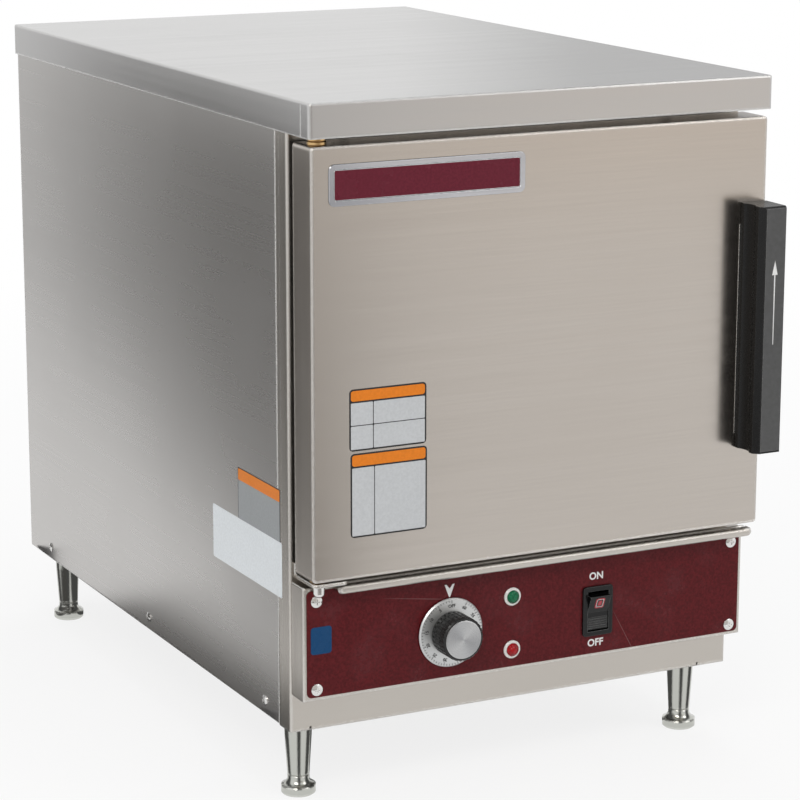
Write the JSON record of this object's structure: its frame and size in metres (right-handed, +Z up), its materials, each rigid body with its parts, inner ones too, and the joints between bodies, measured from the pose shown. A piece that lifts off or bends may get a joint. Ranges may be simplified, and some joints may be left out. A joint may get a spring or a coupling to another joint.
{
  "type": "countertop steamer",
  "caption": "Electric countertop steamer: stainless case on adjustable legs, side-hung door with a lift-up latch handle, timer knob, rocker switch and a steam chamber with pan racks.",
  "frame": {"origin": "on the floor, under the middle of the whole steamer's box", "axes": "+Z up; the door faces -Y and the rear connections face +Y; +X is the latch side"},
  "size_m": [0.424, 0.7304, 0.589],
  "materials": {
    "lid_steel": "brushed along the lid, satin",
    "case_steel": "brushed, satin",
    "door_steel": "brushed across, satin",
    "chamber_steel": "plain rolled, satin",
    "leg_chrome": "polished",
    "fastener_steel": "bright plated",
    "hinge_brass": "turned",
    "panel_maroon": "gloss printed overlay",
    "handle_black": "fine texture",
    "knob_black": "moulded",
    "dial_silver": "satin, spun cap",
    "switch_black": "moulded",
    "lens_green": "moulded lens",
    "lens_red": "moulded lens",
    "lamp_white": "moulded",
    "gasket_grey": "silicone",
    "insulation_white": "glass fibre blanket",
    "sheath_steel": "heat-tinted sheath",
    "electrical_plastic": "moulded",
    "board_green": "circuit board"
  },
  "bodies": {
    "cabinet": {"back_panel": "case_steel", "back_screws": "fastener_steel", "base_pan": "case_steel", "cable_gland": "electrical_plastic", "chamber_insulation": "insulation_white", "chamber_liner": "chamber_steel", "contactor": "electrical_plastic", "control_housing": "door_steel", "control_overlay": "panel_maroon", "drain_pipe": "chamber_steel", "front_frame": "case_steel", "green_lamp_body": "lamp_white", "green_lamp_lens": "lens_green", "heating_element": "sheath_steel", "latch_strike": "fastener_steel", "left_side_panel": "case_steel", "leg_front_left": "leg_chrome", "leg_front_right": "leg_chrome", "leg_rear_left": "leg_chrome", "leg_rear_right": "leg_chrome", "level_control_board": "board_green", "level_probe": "chamber_steel", "lid": "lid_steel", "lid_screws": "electrical_plastic", "lower_hinge_bracket": "case_steel", "lower_hinge_pin": "fastener_steel", "panel_screws": "fastener_steel", "red_lamp_body": "lamp_white", "red_lamp_lens": "lens_red", "right_side_panel": "case_steel", "rocker_switch_body": "switch_black", "side_screws": "fastener_steel", "terminal_block": "electrical_plastic", "timer_body": "electrical_plastic", "upper_hinge_pin": "fastener_steel", "upper_hinge_washer": "hinge_brass", "water_inlet_valve": "hinge_brass"},
    "door": {"door_outer": "door_steel", "door_inner": "chamber_steel", "door_insulation": "insulation_white", "door_gasket": "gasket_grey", "upper_hinge_bush": "hinge_brass", "lower_hinge_bush": "hinge_brass", "handle_guides": "fastener_steel"},
    "handle": {"handle_grip": "handle_black", "latch_bar": "fastener_steel"},
    "drip_trough": {"drip_trough": "chamber_steel"},
    "timer_knob": {"timer_shaft": "fastener_steel", "timer_dial": "dial_silver", "knob_grip": "knob_black", "knob_cap": "dial_silver"},
    "switch_paddle": {"rocker_paddle": "switch_black"},
    "left_rack": {"left_pan_rack": "chamber_steel"},
    "right_rack": {"right_pan_rack": "chamber_steel"},
    "splash_shield": {"probe_shield": "chamber_steel"},
    "sump_plate": {"floor_plate": "chamber_steel"},
    "foot_front_left": {"foot_front_left": "leg_chrome"},
    "foot_front_right": {"foot_front_right": "leg_chrome"},
    "foot_rear_left": {"foot_rear_left": "leg_chrome"},
    "foot_rear_right": {"foot_rear_right": "leg_chrome"}
  },
  "joints": [
    {"name": "door_swing", "type": "hinge", "parent": "cabinet", "child": "door", "pos_m": [-0.198, -0.32275, 0.3795], "axis": [0, 0, -1], "range_deg": [0, 170]},
    {"name": "handle_lift", "type": "slide", "parent": "door", "child": "handle", "axis": [0, 0, 1], "range_m": [0, 0.02]},
    {"name": "trough_slide", "type": "slide", "parent": "cabinet", "child": "drip_trough", "axis": [1, 0, 0], "range_m": [0, 0.38]},
    {"name": "timer_turn", "type": "hinge", "parent": "cabinet", "child": "timer_knob", "pos_m": [-0.076, -0.31675, 0.1415], "axis": [0, 1, 0], "range_deg": [0, 330]},
    {"name": "switch_rock", "type": "hinge", "parent": "cabinet", "child": "switch_paddle", "pos_m": [0.0645, -0.31275, 0.1408], "axis": [-1, 0, 0], "range_deg": [0, 22]},
    {"name": "left_rack_lift", "type": "slide", "parent": "cabinet", "child": "left_rack", "axis": [0, 0, 1], "range_m": [0, 0.01]},
    {"name": "right_rack_lift", "type": "slide", "parent": "cabinet", "child": "right_rack", "axis": [0, 0, 1], "range_m": [0, 0.01]},
    {"name": "shield_lift", "type": "slide", "parent": "cabinet", "child": "splash_shield", "axis": [0, 0, 1], "range_m": [0, 0.03]},
    {"name": "plate_lift", "type": "slide", "parent": "cabinet", "child": "sump_plate", "axis": [0, 0, 1], "range_m": [0, 0.02]},
    {"name": "foot_front_left_adjust", "type": "slide", "parent": "cabinet", "child": "foot_front_left", "axis": [0, 0, -1], "range_m": [0, 0.02]},
    {"name": "foot_front_right_adjust", "type": "slide", "parent": "cabinet", "child": "foot_front_right", "axis": [0, 0, -1], "range_m": [0, 0.02]},
    {"name": "foot_rear_left_adjust", "type": "slide", "parent": "cabinet", "child": "foot_rear_left", "axis": [0, 0, -1], "range_m": [0, 0.02]},
    {"name": "foot_rear_right_adjust", "type": "slide", "parent": "cabinet", "child": "foot_rear_right", "axis": [0, 0, -1], "range_m": [0, 0.02]}
  ]
}
